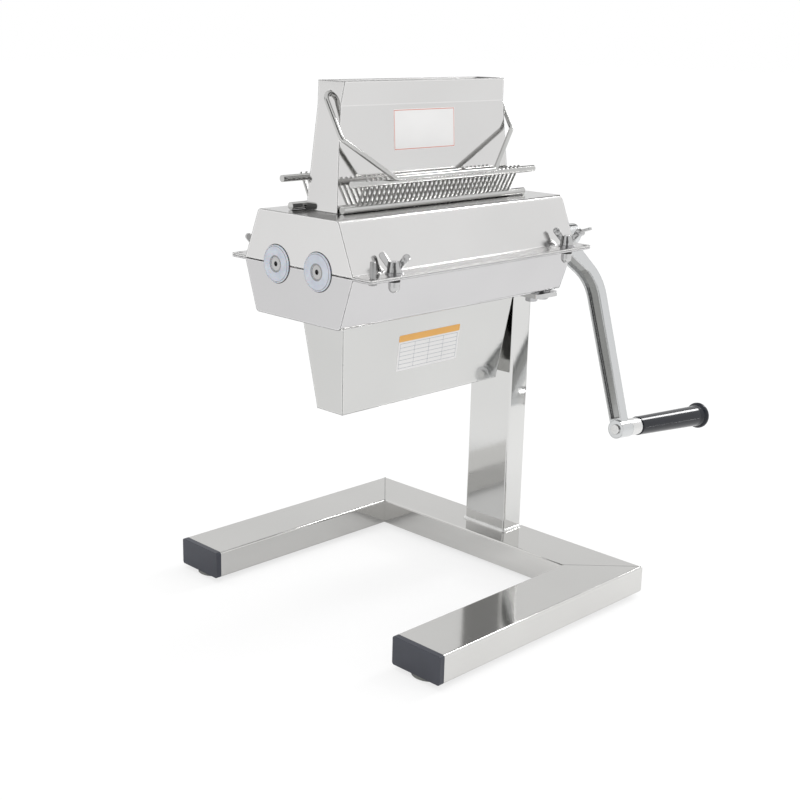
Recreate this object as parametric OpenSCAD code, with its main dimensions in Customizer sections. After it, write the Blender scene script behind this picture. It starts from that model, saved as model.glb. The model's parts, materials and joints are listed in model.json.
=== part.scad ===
// Hand cranked meat tenderizer on a U shaped stand.
// Millimetres. X runs along the legs and the rollers, towards the crank. Y runs across the legs,
// with the front at the low side. Z is up, and the origin is on the floor under the middle of the
// whole machine, crank grip included.

/* [Stand] */
// Length of the stand along its legs
stand_length = 260; // [230:1:320]
// Width of the stand across its legs
stand_width = 320; // [280:1:380]
// Wide side of the stand's flat tube
tube_w = 50; // [42:1:58]
// Height of the stand's flat tube
tube_h = 24; // [20:1:30]
// Wall of every tube
tube_wall = 1.5; // [1:0.1:2.5]
// Outer radius of the tubes' long edges
tube_r = 2; // [1.6:0.1:4]
// Part of an end cap that stands out of its leg
cap_lip = 5; // [3:0.5:10]
// Depth of an end cap's plug inside its leg
cap_plug = 8; // [6:0.5:12]
// Wall of an end cap's plug
cap_wall = 2; // [1.5:0.5:4]
// Height of a rubber foot
foot_h = 4.5; // [3:0.5:8]
// Diameter of a rubber foot
foot_d = 30; // [20:1:36]
// Distance from the free end of a leg to the middle of its foot
foot_inset = 17; // [15:0.5:40]
// Diameter of a foot's screw
foot_screw_d = 4; // [3:0.5:5]
// Length of a foot's screw inside the tube
foot_screw_reach = 6; // [4:1:10]

/* [Post] */
// Side of the post across the machine
post_w = 48; // [40:1:60]
// Side of the post along the machine
post_t = 24; // [20:1:30]
// Distance from the outer face of the crossbar to the post
post_setback = 3; // [1:0.5:8]
// Size of the weld bead round the foot of the post
weld_size = 2.4; // [1:0.2:3]
// Thickness of the plate on top of the post
plate_t = 4; // [3:0.5:6]
// Length of the plate across the machine
plate_w = 102; // [90:1:110]
// How far the plate reaches past the post at the crank end
plate_reach = 4; // [2:0.5:8]
// Thickness of the spacer washers between the plate and the housing
spacer_t = 1.2; // [0.6:0.1:3]
// Diameter of the bolts that hold the housing
bolt_d = 6; // [5:1:8]
// Distance of a bolt from the middle plane, across the machine
bolt_y = 38; // [34:1:42]
// Distance between the two bolts of a side, along the machine
bolt_pitch = 15; // [14:1:18]

/* [Housing] */
// Overall height of the machine
overall_height = 440; // [400:1:480]
// Length of the housing
shell_length = 266; // [250:1:300]
// How far the housing reaches past the stand at the crank end
shell_overhang = 3.5; // [0:0.5:10]
// Thickness of the housing's sheet
sheet = 1.5; // [1:0.1:2.5]
// Height of the upper housing
upper_h = 41.2; // [38:0.1:50]
// Height of the lower housing
lower_h = 41.8; // [38:0.1:50]
// Half width of the housing at its top
top_half = 46; // [42:0.5:50]
// Half width of the housing at its waist
waist_half = 63; // [58:0.5:68]
// Half width of the housing at its bottom
bottom_half = 49; // [47:0.5:55]
// Width of the two clamping flanges outside the waist
flange_w = 18.5; // [16:0.5:22]
// Outer radius of the housing's folds
fold_r = 4; // [2:0.5:6]
// Radius of the flange corners
flange_r = 3; // [1:0.5:6]
// Gap between the two end panels at the seam
seam = 0.6; // [0.3:0.1:1.5]

/* [Hopper and chute] */
// Height of the feed hopper
hopper_h = 99; // [80:1:130]
// Height of the flared rim of the hopper
hopper_rim_h = 18.5; // [10:0.5:30]
// Distance from the open end of the housing to the hopper's foot
hopper_near_gap = 25; // [18:0.5:34]
// Distance from the hopper's foot to the crank end of the housing
hopper_far_gap = 38; // [34:0.5:46]
// How far each end of the hopper leans in up to the fold under its rim
throat_in = 7; // [4:0.5:10]
// How far each end of the hopper leans in up to its mouth
mouth_in = 9.5; // [6:0.5:12]
// Half width of the hopper at its mouth
mouth_half_w = 14.8; // [13:0.1:18]
// Half width of the hopper at the fold under its rim
throat_half_w = 12.8; // [12:0.1:14.5]
// Half width of the hopper at its foot
hopper_foot_half_w = 17.8; // [16.5:0.1:18.5]
// Wall of the hopper and the chute
funnel_wall = 1.2; // [0.8:0.1:1.5]
// Height of the discharge chute
chute_h = 80.5; // [60:0.5:110]
// Distance from the open end of the housing to the chute
chute_near_gap = 26.7; // [24:0.1:32]
// Gap between the chute and the plate on the post
chute_plate_gap = 1.3; // [1:0.1:6]
// How far each end of the chute leans in down to its outlet
chute_in = 9; // [4:0.5:12]
// Half width of the chute at its top
chute_top_half_w = 24.5; // [22:0.5:30]
// Half width of the chute at its outlet
chute_foot_half_w = 15; // [14:0.5:20]

/* [Rollers] */
// Length of the housing that the blades leave free, for gears, nuts and bushes
blade_free = 86; // [84:1:90]
// Distance from blade to blade
blade_pitch = 5.25; // [5:0.05:5.3]
// Thickness of a blade
blade_t = 1; // [0.8:0.1:1.4]
// Diameter over a blade's teeth
blade_d = 52; // [49:0.5:54]
// Depth of the notches between a blade's teeth
notch_depth = 3; // [1.5:0.5:5]
// Number of teeth round a blade
blade_teeth = 16; // [12:1:20]
// Diameter of the spacers between the blades, and of the collar and nut that clamp them
spacer_d = 19; // [18:0.5:20]
// Hexagon core of a roller shaft, across its flats
core_af = 13; // [12:0.5:13.5]
// Diameter of a shaft's journals
journal_d = 11; // [9:0.5:12]
// Middle of the front roller's blades, measured from the middle of the housing
stack_offset = -1.9; // [-4:0.1:1]
// Module of the two equal gears
gear_module = 2; // [2:0.01:2.04]
// Number of teeth on each gear
gear_teeth = 24; // [24:1:24]
// Width of the gears
gear_w = 14; // [10:1:16]
// Diameter of a bush's visible disc
bush_d = 30; // [28:0.5:34]
// Diameter of a bush's neck in the end panel
bush_neck_d = 24; // [20:0.5:26]
// Thickness of a bush's discs
bush_t = 1.6; // [1.4:0.2:4]

/* [Combs and bail] */
// Diameter of a comb's fingers
finger_d = 2.2; // [1.6:0.1:2.6]
// Diameter of the lower rod of a comb
low_rod_d = 6; // [5:0.5:7]
// Diameter of the upper rod of a comb
high_rod_d = 5.5; // [4.5:0.5:6]
// Height of the upper rod above the lower one
rod_rise = 20.3; // [18:0.1:24]
// Lean of a comb's fingers
comb_lean = 26.6; // [25:0.2:29]
// How far a finger's tip stands out of the upper rod's middle
tip_over = 4; // [3.2:0.1:6]
// Gap between the fingers' straight ends and the spacers of their roller
finger_gap = 0.4; // [0.3:0.1:0.8]
// How far the fingers reach below the roller axes
finger_drop = 27; // [20:1:34]
// How far a rod reaches past the outer fingers
rod_over = 18.5; // [12:0.5:20]
// How far a comb's rods are shifted along its fingers
rod_shift = 3; // [0:0.5:4]
// Number of blade gaps by which the rear comb sits nearer the open end
rear_comb_gap_count = 2; // [0:1:2]
// Diameter of the bail's wire
bail_d = 4; // [3:0.5:4.5]
// Distance from the hopper's mouth down to the bail's pivot
bail_drop = 9.5; // [8:0.5:12]
// Distance of the bail's legs from the ends of the hopper, at the fold under its rim
bail_side_gap = 5; // [4.5:0.5:8]
// Length of a bail leg before its first bend
bail_leg = 38; // [34:0.5:42]
// How far the ends of the bail's straight bar stand inside its legs
bail_bar_in = 41; // [34:0.5:48]
// Distance from the bail's pivot to its bar
bail_reach = 74; // [73:0.1:76]
// Radius of the bail's bends
bail_bend = 6; // [4:0.5:8]

/* [Clamps] */
// Distance of the clamping studs from the waist
stud_out = 8; // [7:0.5:9]
// Diameter of the clamping studs
stud_d = 6; // [5:0.5:6]
// Distance from the end of the housing with a locating pin to the wing nut beside the pin
pin_stud_inset = 35; // [29:0.5:43]
// Distance from the end of the housing without a pin to the wing nut there
free_stud_inset = 21.2; // [17:0.2:25]
// Distance of a locating pin from the end of the housing
pin_end_inset = 6; // [5:0.5:9]
// Distance of a locating pin from the flange's long edge
pin_side_inset = 4; // [3.5:0.5:7]
// Diameter of the locating pins
pin_d = 4.6; // [4:0.2:6]
// Height of a locating pin above the flange
pin_rise = 13; // [8:1:20]
// Span of a wing nut over its wings
wing_span = 24.5; // [20:0.5:25]
// Height of a wing nut
wing_h = 14.5; // [11:0.5:16]
// Diameter of a wing nut's base
wing_base_d = 12; // [10:0.5:13]

/* [Crank] */
// Swing of the crank arm from straight down, towards the front
crank_swing = 21.6; // [0:0.1:45]
// Distance from the housing to the crank's boss
crank_gap = 18; // [16:0.5:26]
// Length of the crank's boss
boss_l = 30; // [26:0.5:34]
// Diameter of the crank's boss
boss_d = 20; // [18:0.5:26]
// Diameter of the shaft inside the crank's boss
boss_bore_d = 10; // [8:0.5:10]
// Diameter of the threaded end of the drive shaft
thread_d = 6; // [5:0.5:7]
// How far inside the middle of the boss the arm starts
start_in = 9.8; // [6:0.2:12]
// Distance from the roller axis to the crank's bend
bend_drop = 45; // [36:1:50]
// Distance from the roller axis to the grip's axis
crank_throw = 184; // [160:1:220]
// How far the bend stands outside the middle of the boss
bend_out = 30; // [24:0.5:36]
// How far the grip's boss stands inside the bend
boss_in = 15.5; // [10:0.5:20]
// Tilt of the grip's axis below level
grip_tilt = 5; // [0:0.5:8]
// Thickness of the arm at its top
arm_top_t = 18; // [12:0.5:20]
// Thickness of the arm at its bend
arm_bend_t = 10; // [9:0.5:13]
// Thickness of the arm at the grip's boss
arm_foot_t = 10; // [8:0.5:12]
// Width of the arm at its top
arm_top_w = 15.5; // [14:0.5:18]
// Width of the arm at the grip's boss
arm_foot_w = 13; // [11:0.5:15]
// Depth of the channel in the arm's inner face
channel_depth = 2.5; // [1:0.5:3]
// Rim that stands beside the channel
channel_rim = 2; // [1.5:0.5:3]
// Diameter of the grip's boss
grip_boss_d = 17; // [15:0.5:20]
// Length of the metal collar between the boss and the grip
ferrule_l = 14.5; // [8:0.5:18]
// Diameter of the metal collar
ferrule_d = 16; // [14:0.5:18]
// Length of the grip
grip_l = 104; // [85:1:120]
// Diameter of the grip beside the collar
grip_d0 = 17.4; // [16:0.2:20]
// Diameter of the grip before its end
grip_d1 = 19.6; // [18:0.2:24]
// Diameter of the grip's end
grip_end_d = 25; // [22:0.5:30]
// Diameter of the spindle inside the grip
spindle_d = 6; // [5:0.5:7]

/* [Hidden] */

$fn = 48;

// Overrun of every cut past the face it opens
over = 1;
// Clearance of a shaft or a bolt all round in its hole
fit = 0.05;
// Gap between pieces that are put side by side
slack = 0.1;
// Gap between a resting wire and what it rests on
rest_gap = 0.3;

// Half of the grip boss's length, from the arm's middle to the metal collar
grip_boss_half = 9;
// Thickness of the rounded disc at the grip's end
grip_end_t = 8;

// Heights of the housing, from the floor
top_z = overall_height - hopper_h;
waist_z = top_z - upper_h;
bottom_z = waist_z - lower_h;
tube_z = foot_h;
tube_top_z = tube_z + tube_h;
plate_z = bottom_z - spacer_t - plate_t;

// The machine is centred on the origin with the bush discs at one end and the grip at the other
roller_half = gear_module * gear_teeth / 2;
left_reach = shell_length - shell_overhang - stand_length / 2 + bush_t;
grip_far = grip_boss_half + ferrule_l + rest_gap + grip_l - grip_end_t / 2;
right_reach = stand_length / 2 + shell_overhang + crank_gap + boss_l / 2 + bend_out - boss_in
    + grip_far * cos(grip_tilt) + grip_end_t / 2
    + (grip_end_d - grip_end_t) / 2 * sin(grip_tilt);
mid_x = (left_reach - right_reach) / 2;

left_x = mid_x - stand_length / 2;
right_x = mid_x + stand_length / 2;
shell_x1 = right_x + shell_overhang;
shell_x0 = shell_x1 - shell_length;
shell_mid_x = (shell_x0 + shell_x1) / 2;
flange_half = waist_half + flange_w;
stud_y = waist_half + stud_out;
leg_y = stand_width / 2 - tube_w / 2;
post_x1 = right_x - post_setback;
post_x0 = post_x1 - post_t;

// Both plates of a joint carry the same bolt places
plate_gap = 0.5;
plate_x0 = post_x0 - plate_gap;
plate_x1 = post_x1 + plate_reach;
bolt_mid_x = (plate_x0 + plate_x1) / 2;
bolt_places = [for (side = [-1, 1]) for (end = [-1, 1])
    [bolt_mid_x + end * bolt_pitch / 2, side * bolt_y]];
bolt_af = 10;
bolt_head_h = 4;
bolt_nut_h = 5;
washer_over = 4;

// The rollers
front_y = -roller_half;
rear_y = roller_half;
core_r = core_af / 2 / cos(30);
blade_count = floor((shell_length - blade_free) / blade_pitch);
stack_x = [shell_mid_x + stack_offset, shell_mid_x + stack_offset + blade_pitch / 2];
stack_half = (blade_count - 1) * blade_pitch / 2 + blade_t / 2;
end_spacer_l = 8;
stack_nut_l = 6.5;
thrust_t = 3;
bush_inner_t = 3;
end_play = 0.3;
bush_in_x0 = shell_x0 + sheet + slack + bush_inner_t;
bush_in_x1 = shell_x1 - sheet - slack - bush_inner_t;
thrust_x0 = bush_in_x0 + end_play;
thrust_x1 = bush_in_x1 - end_play;
gear_x1 = thrust_x1 - thrust_t;
gear_x0 = gear_x1 - gear_w;
centre_hole_d = 4;
centre_hole_l = 6;
shaft_recess = 0.5;
shaft_end_x = shell_x0 - bush_t + shaft_recess;

// The crank
boss_x0 = shell_x1 + crank_gap;
boss_x1 = boss_x0 + boss_l;
boss_mid_x = (boss_x0 + boss_x1) / 2;
bend_x = boss_mid_x + bend_out;
grip_x = bend_x - boss_in;
flat_depth = 1.5;
crank_washer_t = 1.2;
crank_washer_d = 16;
thread_over = 6;
crank_nut_turn = -65;

// The hopper and the chute
hopper_x0 = shell_x0 + hopper_near_gap;
hopper_x1 = shell_x1 - hopper_far_gap;
hopper_x = (hopper_x0 + hopper_x1) / 2;
mouth_half_l = (hopper_x1 - hopper_x0) / 2 - mouth_in;
chute_x0 = shell_x0 + chute_near_gap;
chute_x1 = plate_x0 - chute_plate_gap;

// The combs
finger_count = blade_count + 1;
finger_y = roller_half - spacer_d / 2 - finger_d / 2 - finger_gap;
finger_half = (finger_count - 1) * blade_pitch / 2;
rod_half = finger_half + rod_over;
low_rod_z = top_z + slack + low_rod_d / 2;
finger_half_y = finger_d / 2 / cos(comb_lean);
slot_inset = 0.5;
slot_clear = 0.3;
slot_y0 = hopper_foot_half_w + slot_inset;
low_rod_y = slot_y0 + slot_clear + finger_half_y
    + (low_rod_z - top_z + sheet) * tan(comb_lean);
high_rod_y = low_rod_y + rod_rise * tan(comb_lean);
high_rod_z = low_rod_z + rod_rise;
slot_y1 = low_rod_y - (low_rod_z - top_z) * tan(comb_lean) + finger_half_y + slot_clear;
knee_z = low_rod_z - (low_rod_y - finger_y) / tan(comb_lean);
finger_foot_z = waist_z - finger_drop;
slot_half = finger_half + rear_comb_gap_count * blade_pitch + blade_pitch;
slot_x0 = (stack_x[0] + stack_x[1]) / 2 - slot_half;
tip_y = high_rod_y + tip_over * sin(comb_lean);
tip_z = high_rod_z + tip_over * cos(comb_lean);

// The bail hangs in a plane that just clears the slanted ends of the fingers
bail_z = overall_height - bail_drop;
bail_half = (hopper_x1 - hopper_x0) / 2 - throat_in + bail_side_gap;
bail_bar_half = bail_half - bail_bar_in;
tip_edge_share = 0.55;
tip_room = bail_d / 2 + finger_d / 2 * tip_edge_share + rest_gap;
bail_lean = atan2(tip_y, bail_z - tip_z) + asin(tip_room / norm([tip_y, bail_z - tip_z]));

// Unit vectors and points on a circle
function polar(r, a) = [r * cos(a), r * sin(a)];
function unit(v) = v / norm(v);
function heading(v) = atan2(v[1], v[0]);
function turn(a) = a > 180 ? a - 360 : a < -180 ? a + 360 : a;

// Draws a flat outline in the Y and Z directions and extrudes it along X from x0 to x1
module along_x(x0, x1) {
    translate([x0, 0, 0]) rotate([90, 0, 90]) linear_extrude(x1 - x0) children();
}

// Draws a flat outline in the X and Z directions and extrudes it across Y, equally to both sides
module across_y(width) {
    rotate([90, 0, 0]) linear_extrude(width, center = true) children();
}

// Round bar along X
module bar_x(x0, x1, r) {
    translate([x0, 0, 0]) rotate([0, 90, 0]) cylinder(h = x1 - x0, r = r);
}

// Convex outline whose corners are rounded by true arcs, one radius for each corner
module rounded_outline(points, radii) {
    count = len(points);
    into = [for (i = [0:count - 1]) unit(points[(i + count - 1) % count] - points[i])];
    away = [for (i = [0:count - 1]) unit(points[(i + 1) % count] - points[i])];
    half = [for (i = [0:count - 1]) acos(into[i] * away[i]) / 2];
    polygon([for (i = [0:count - 1]) for (side = [into[i], away[i]])
        points[i] + side * radii[i] / tan(half[i])]);
    for (i = [0:count - 1]) if (radii[i] > 0)
        translate(points[i] + unit(into[i] + away[i]) * radii[i] / sin(half[i]))
            circle(radii[i]);
}

// Solid with flat leaning sides through levels of [z, x0, x1, half width]
module lofted_box(levels) {
    count = len(levels);
    longest = max([for (level = levels) level[3]]) + over;
    intersection() {
        across_y(2 * longest)
            polygon(concat([for (level = levels) [level[1], level[0]]],
                [for (i = [count - 1:-1:0]) [levels[i][2], levels[i][0]]]));
        along_x(min([for (level = levels) level[1]]) - over,
            max([for (level = levels) level[2]]) + over)
            polygon(concat([for (level = levels) [-level[3], level[0]]],
                [for (i = [count - 1:-1:0]) [levels[i][3], levels[i][0]]]));
    }
}

// Open funnel of sheet: a lofted box with the same box taken out one wall further in
module funnel(levels, wall) {
    inner = [for (level = levels) [level[0], level[1] + wall, level[2] - wall, level[3] - wall]];
    low = inner[0];
    high = inner[len(inner) - 1];
    difference() {
        lofted_box(levels);
        lofted_box(concat([[low[0] - over, low[1], low[2], low[3]]], inner,
            [[high[0] + over, high[1], high[2], high[3]]]));
    }
}

// Outline of a flat tube around its own middle, or of what lies a given distance inside it
module tube_outline(w, h, inset) {
    x = w / 2 - inset;
    y = h / 2 - inset;
    rounded_outline([[-x, -y], [x, -y], [x, y], [-x, y]],
        [for (i = [1:4]) max(tube_r - inset, slack)]);
}

// Flat ring or washer, standing on z
module washer(z, outer_r, inner_r, h) {
    translate([0, 0, z]) difference() {
        cylinder(h = h, r = outer_r);
        translate([0, 0, -over]) cylinder(h = h + 2 * over, r = inner_r);
    }
}

// Hexagon prism, by its size across the flats
module hex_prism(af, h) {
    cylinder(h = h, r = af / 2 / cos(30), $fn = 6);
}

// Stand

// A foot near each end of a leg, the one at the crank end clear of the mitre
foot_xs = [left_x + foot_inset, right_x - tube_w / 2 - foot_d];
// A cap's plug stops short of the screw of the foot
plug_depth = min(cap_plug, foot_inset - cap_lip - foot_screw_d);
tube_mid_z = tube_z + tube_h / 2;

// Hollow tube with a mitre at its crossbar end: legs at the front and the rear
module leg(side) {
    module outline(inset) {
        translate([side * leg_y, tube_mid_z]) tube_outline(tube_w, tube_h, inset);
    }
    difference() {
        along_x(left_x + cap_lip, right_x) outline(0);
        along_x(left_x + cap_lip - over, right_x + over) outline(tube_wall);
        // Everything past the line that runs from the outer corner to the inner one
        translate([0, 0, tube_z - over]) linear_extrude(tube_h + 2 * over) polygon([
            [right_x + over, side * (stand_width / 2 + over)],
            [right_x - tube_w - over, side * (stand_width / 2 - tube_w - over)],
            [right_x + 2 * over, side * (stand_width / 2 - tube_w - over)],
            [right_x + 2 * over, side * (stand_width / 2 + over)]
        ]);
        for (x = foot_xs) translate([x, side * leg_y, tube_z - over])
            cylinder(h = tube_wall + 2 * over, r = foot_screw_d / 2 + fit);
    }
}

module front_leg() { color("gainsboro") leg(-1); }
module rear_leg() { color("gainsboro") leg(1); }

// Hollow tube across the crank end, mitred at both ends
module crossbar() {
    module outline(inset) {
        translate([right_x - tube_w / 2, tube_mid_z]) tube_outline(tube_w, tube_h, inset);
    }
    color("gainsboro") difference() {
        across_y(stand_width) outline(0);
        across_y(stand_width + 2 * over) outline(tube_wall);
        for (side = [-1, 1]) translate([0, 0, tube_z - over]) linear_extrude(tube_h + 2 * over)
            polygon([
                [right_x + over, side * (stand_width / 2 + over)],
                [right_x - tube_w - over, side * (stand_width / 2 - tube_w - over)],
                [right_x - tube_w - over, side * (stand_width / 2 + over)]
            ]);
    }
}

// Black plastic cap: a lip as large as the tube and a hollow plug inside it
module leg_cap(side) {
    module outline(inset) {
        translate([side * leg_y, tube_mid_z]) tube_outline(tube_w, tube_h, inset);
    }
    color("darkslategray") difference() {
        union() {
            along_x(left_x, left_x + cap_lip) outline(0);
            along_x(left_x + cap_lip - slack, left_x + cap_lip + plug_depth)
                outline(tube_wall + slack);
        }
        along_x(left_x + cap_lip, left_x + cap_lip + plug_depth + over)
            outline(tube_wall + slack + cap_wall);
    }
}
module front_leg_cap() { leg_cap(-1); }
module rear_leg_cap() { leg_cap(1); }

foot_screw_head_d = 9;
foot_screw_head_h = 1.8;
// Height of the face under a foot screw's head
foot_floor = 1;

// Rubber foot: a low cone with a recess for its screw's head
module rubber_foot(x, side) {
    foot_top_share = 0.88;
    recess_z = foot_h - foot_floor;
    color("dimgray") translate([x, side * leg_y, 0]) rotate_extrude() polygon([
        [foot_screw_head_d / 2 + slack, 0],
        [foot_d / 2 * foot_top_share, 0],
        [foot_d / 2, foot_h * (1 - foot_top_share)],
        [foot_d / 2, foot_h],
        [foot_screw_d / 2 + fit, foot_h],
        [foot_screw_d / 2 + fit, recess_z],
        [foot_screw_head_d / 2 + slack, recess_z]
    ]);
}
module foot_front_left() { rubber_foot(foot_xs[0], -1); }
module foot_front_right() { rubber_foot(foot_xs[1], -1); }
module foot_rear_left() { rubber_foot(foot_xs[0], 1); }
module foot_rear_right() { rubber_foot(foot_xs[1], 1); }

// Screws that hold the feet, with their heads inside the rubber
module foot_screws() {
    head_z = foot_h - foot_floor - foot_screw_head_h;
    color("silver") for (x = foot_xs) for (side = [-1, 1])
        translate([x, side * leg_y, head_z]) {
            cylinder(h = foot_screw_head_h, r = foot_screw_head_d / 2);
            cylinder(h = tube_z + tube_wall + foot_screw_reach - head_z, r = foot_screw_d / 2);
        }
}

// Post

module post_outline(inset) {
    translate([(post_x0 + post_x1) / 2, 0]) tube_outline(post_t, post_w, inset);
}

// Flat tube that carries the head, standing on the crossbar
module post() {
    color("lightgray") difference() {
        translate([0, 0, tube_top_z]) linear_extrude(plate_z - tube_top_z) post_outline(0);
        translate([0, 0, tube_top_z - over]) linear_extrude(plate_z - tube_top_z + 2 * over)
            post_outline(tube_wall);
    }
}

// Weld bead round the foot of the post, a sloping fillet on all four sides that stops where the
// crossbar's edge starts to round
module post_weld() {
    bead_x1 = min(post_x1 + weld_size, right_x - tube_r);
    color("white") difference() {
        lofted_box([
            [tube_top_z, post_x0 - weld_size, bead_x1, post_w / 2 + weld_size],
            [tube_top_z + weld_size, post_x0 - slack, post_x1 + slack, post_w / 2 + slack]
        ]);
        translate([0, 0, tube_top_z - over]) linear_extrude(weld_size + 2 * over) post_outline(0);
    }
}

// Plate welded on top of the post, with four bolt holes
module post_plate() {
    plate_r = 4;
    color("silver") translate([0, 0, plate_z]) linear_extrude(plate_t) difference() {
        rounded_outline([
            [plate_x0, -plate_w / 2], [plate_x1, -plate_w / 2],
            [plate_x1, plate_w / 2], [plate_x0, plate_w / 2]
        ], [for (i = [1:4]) plate_r]);
        for (place = bolt_places) translate(place) circle(bolt_d / 2 + fit);
    }
}

module head_spacers() {
    color("silver") for (place = bolt_places) translate(place)
        washer(bottom_z - spacer_t, bolt_d / 2 + washer_over, bolt_d / 2 + fit, spacer_t);
}

// Hexagon bolts from below, through the plate and the floor of the lower housing
module head_bolts() {
    shank_l = plate_t + spacer_t + sheet + bolt_nut_h + over;
    color("silver") for (place = bolt_places) translate([place[0], place[1], plate_z]) {
        translate([0, 0, -bolt_head_h]) hex_prism(bolt_af, bolt_head_h);
        cylinder(h = shank_l, r = bolt_d / 2);
    }
}

module head_nuts() {
    color("silver") for (place = bolt_places)
        translate([place[0], place[1], bottom_z + sheet]) difference() {
            hex_prism(bolt_af, bolt_nut_h);
            translate([0, 0, -over]) cylinder(h = bolt_nut_h + 2 * over, r = bolt_d / 2 + fit);
        }
}

// Housing

// Both housings carry the same holes along their flanges, the same after half a turn
stud_places = [
    [shell_x0 + pin_stud_inset, -stud_y], [shell_x1 - free_stud_inset, -stud_y],
    [shell_x0 + free_stud_inset, stud_y], [shell_x1 - pin_stud_inset, stud_y]
];
pin_y = flange_half - pin_side_inset;
pin_places = [[shell_x0 + pin_end_inset, -pin_y], [shell_x1 - pin_end_inset, pin_y]];
spare_places = [[shell_x1 - pin_end_inset, -pin_y], [shell_x0 + pin_end_inset, pin_y]];

// Flat flange on both long sides, open in the middle
module flange(z, inner_half) {
    translate([0, 0, z]) linear_extrude(sheet) difference() {
        rounded_outline([
            [shell_x0, -flange_half], [shell_x1, -flange_half],
            [shell_x1, flange_half], [shell_x0, flange_half]
        ], [for (i = [1:4]) flange_r]);
        translate([shell_x0 - over, -inner_half])
            square([shell_length + 2 * over, 2 * inner_half]);
        for (place = stud_places) translate(place) circle(stud_d / 2 + fit);
        for (place = concat(pin_places, spare_places)) translate(place) circle(pin_d / 2 + fit);
    }
}

// Half shell of folded sheet: direction 1 is the upper one and -1 the lower one
module half_shell(direction, height, crown_half) {
    lean = atan2(waist_half - crown_half, height);
    wall_y = sheet / cos(lean);
    crown_inner = crown_half + sheet * tan(lean) - wall_y;
    crown_z = waist_z + direction * height;
    difference() {
        union() {
            along_x(shell_x0, shell_x1) rounded_outline([
                [-waist_half, waist_z], [-crown_half, crown_z],
                [crown_half, crown_z], [waist_half, waist_z]
            ], [0, fold_r, fold_r, 0]);
            flange(direction > 0 ? waist_z : waist_z - sheet, waist_half - sheet);
        }
        along_x(shell_x0 + sheet, shell_x1 - sheet) union() {
            rounded_outline([
                [-waist_half + wall_y, waist_z], [-crown_inner, crown_z - direction * sheet],
                [crown_inner, crown_z - direction * sheet], [waist_half - wall_y, waist_z]
            ], [0, fold_r - sheet, fold_r - sheet, 0]);
            translate([-waist_half + wall_y, waist_z - over])
                square([2 * (waist_half - wall_y), 2 * over]);
        }
        // The end panels stop short of each other, so that the seam shows
        translate([shell_x0 - over, -waist_half + wall_y, waist_z - seam / 2])
            cube([shell_length + 2 * over, 2 * (waist_half - wall_y), seam]);
        for (y = [front_y, rear_y]) translate([0, y, waist_z])
            bar_x(shell_x0 - over, shell_x1 + over, bush_neck_d / 2 + slack);
    }
}

// Lower housing, with the bolt holes and the opening into the chute
module lower_shell() {
    color("lightgray") difference() {
        half_shell(-1, lower_h, bottom_half);
        for (place = bolt_places) translate([place[0], place[1], bottom_z - over])
            cylinder(h = sheet + 2 * over, r = bolt_d / 2 + fit);
        translate([chute_x0 + 2 * funnel_wall, -chute_top_half_w + 2 * funnel_wall,
            bottom_z - over])
            cube([chute_x1 - chute_x0 - 4 * funnel_wall,
                2 * (chute_top_half_w - 2 * funnel_wall), sheet + 2 * over]);
    }
}

// Upper housing, with the opening under the hopper and a slot for each comb
module upper_shell() {
    color("lightgray") difference() {
        half_shell(1, upper_h, top_half);
        translate([hopper_x0 + funnel_wall, -hopper_foot_half_w + funnel_wall,
            top_z - sheet - over])
            cube([hopper_x1 - hopper_x0 - 2 * funnel_wall,
                2 * (hopper_foot_half_w - funnel_wall), sheet + 2 * over]);
        for (side = [-1, 1])
            translate([slot_x0, side > 0 ? slot_y0 : -slot_y1, top_z - sheet - over])
                cube([2 * slot_half, slot_y1 - slot_y0, sheet + 2 * over]);
    }
}

// Feed hopper: a narrow funnel with a flared rim, which also holds the bail's ends
module feed_hopper() {
    color("gainsboro") difference() {
        funnel([
            [top_z, hopper_x0, hopper_x1, hopper_foot_half_w],
            [overall_height - hopper_rim_h, hopper_x0 + throat_in, hopper_x1 - throat_in,
                throat_half_w],
            [overall_height, hopper_x0 + mouth_in, hopper_x1 - mouth_in, mouth_half_w]
        ], funnel_wall);
        translate([0, 0, bail_z])
            bar_x(hopper_x - bail_half, hopper_x + bail_half, bail_d / 2 + fit);
    }
}

// Discharge chute under the rollers
module discharge_chute() {
    color("lightgray") funnel([
        [bottom_z - chute_h, chute_x0 + chute_in, chute_x1 - chute_in, chute_foot_half_w],
        [bottom_z, chute_x0, chute_x1, chute_top_half_w]
    ], funnel_wall);
}

// White plastic bush clamped between the two housings: a disc outside, a neck in the panel and
// a second disc inside
module bush(x, direction, y) {
    rim_t = 0.6;
    rim_w = 1.2;
    neck_l = sheet + 2 * slack;
    color("whitesmoke") translate([x, y, waist_z]) rotate([0, 90 * direction, 0])
        translate([0, 0, -bush_t]) rotate_extrude() polygon([
            [journal_d / 2 + fit, 0],
            [bush_d / 2 - rim_w, 0],
            [bush_d / 2, rim_t],
            [bush_d / 2, bush_t - slack],
            [bush_neck_d / 2, bush_t - slack],
            [bush_neck_d / 2, bush_t - slack + neck_l],
            [bush_d / 2, bush_t - slack + neck_l],
            [bush_d / 2, bush_t - slack + neck_l + bush_inner_t],
            [journal_d / 2 + fit, bush_t - slack + neck_l + bush_inner_t]
        ]);
}
module bush_front_left() { bush(shell_x0, 1, front_y); }
module bush_rear_left() { bush(shell_x0, 1, rear_y); }
module bush_front_right() { bush(shell_x1, -1, front_y); }
module bush_rear_right() { bush(shell_x1, -1, rear_y); }

// Clamps

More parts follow.
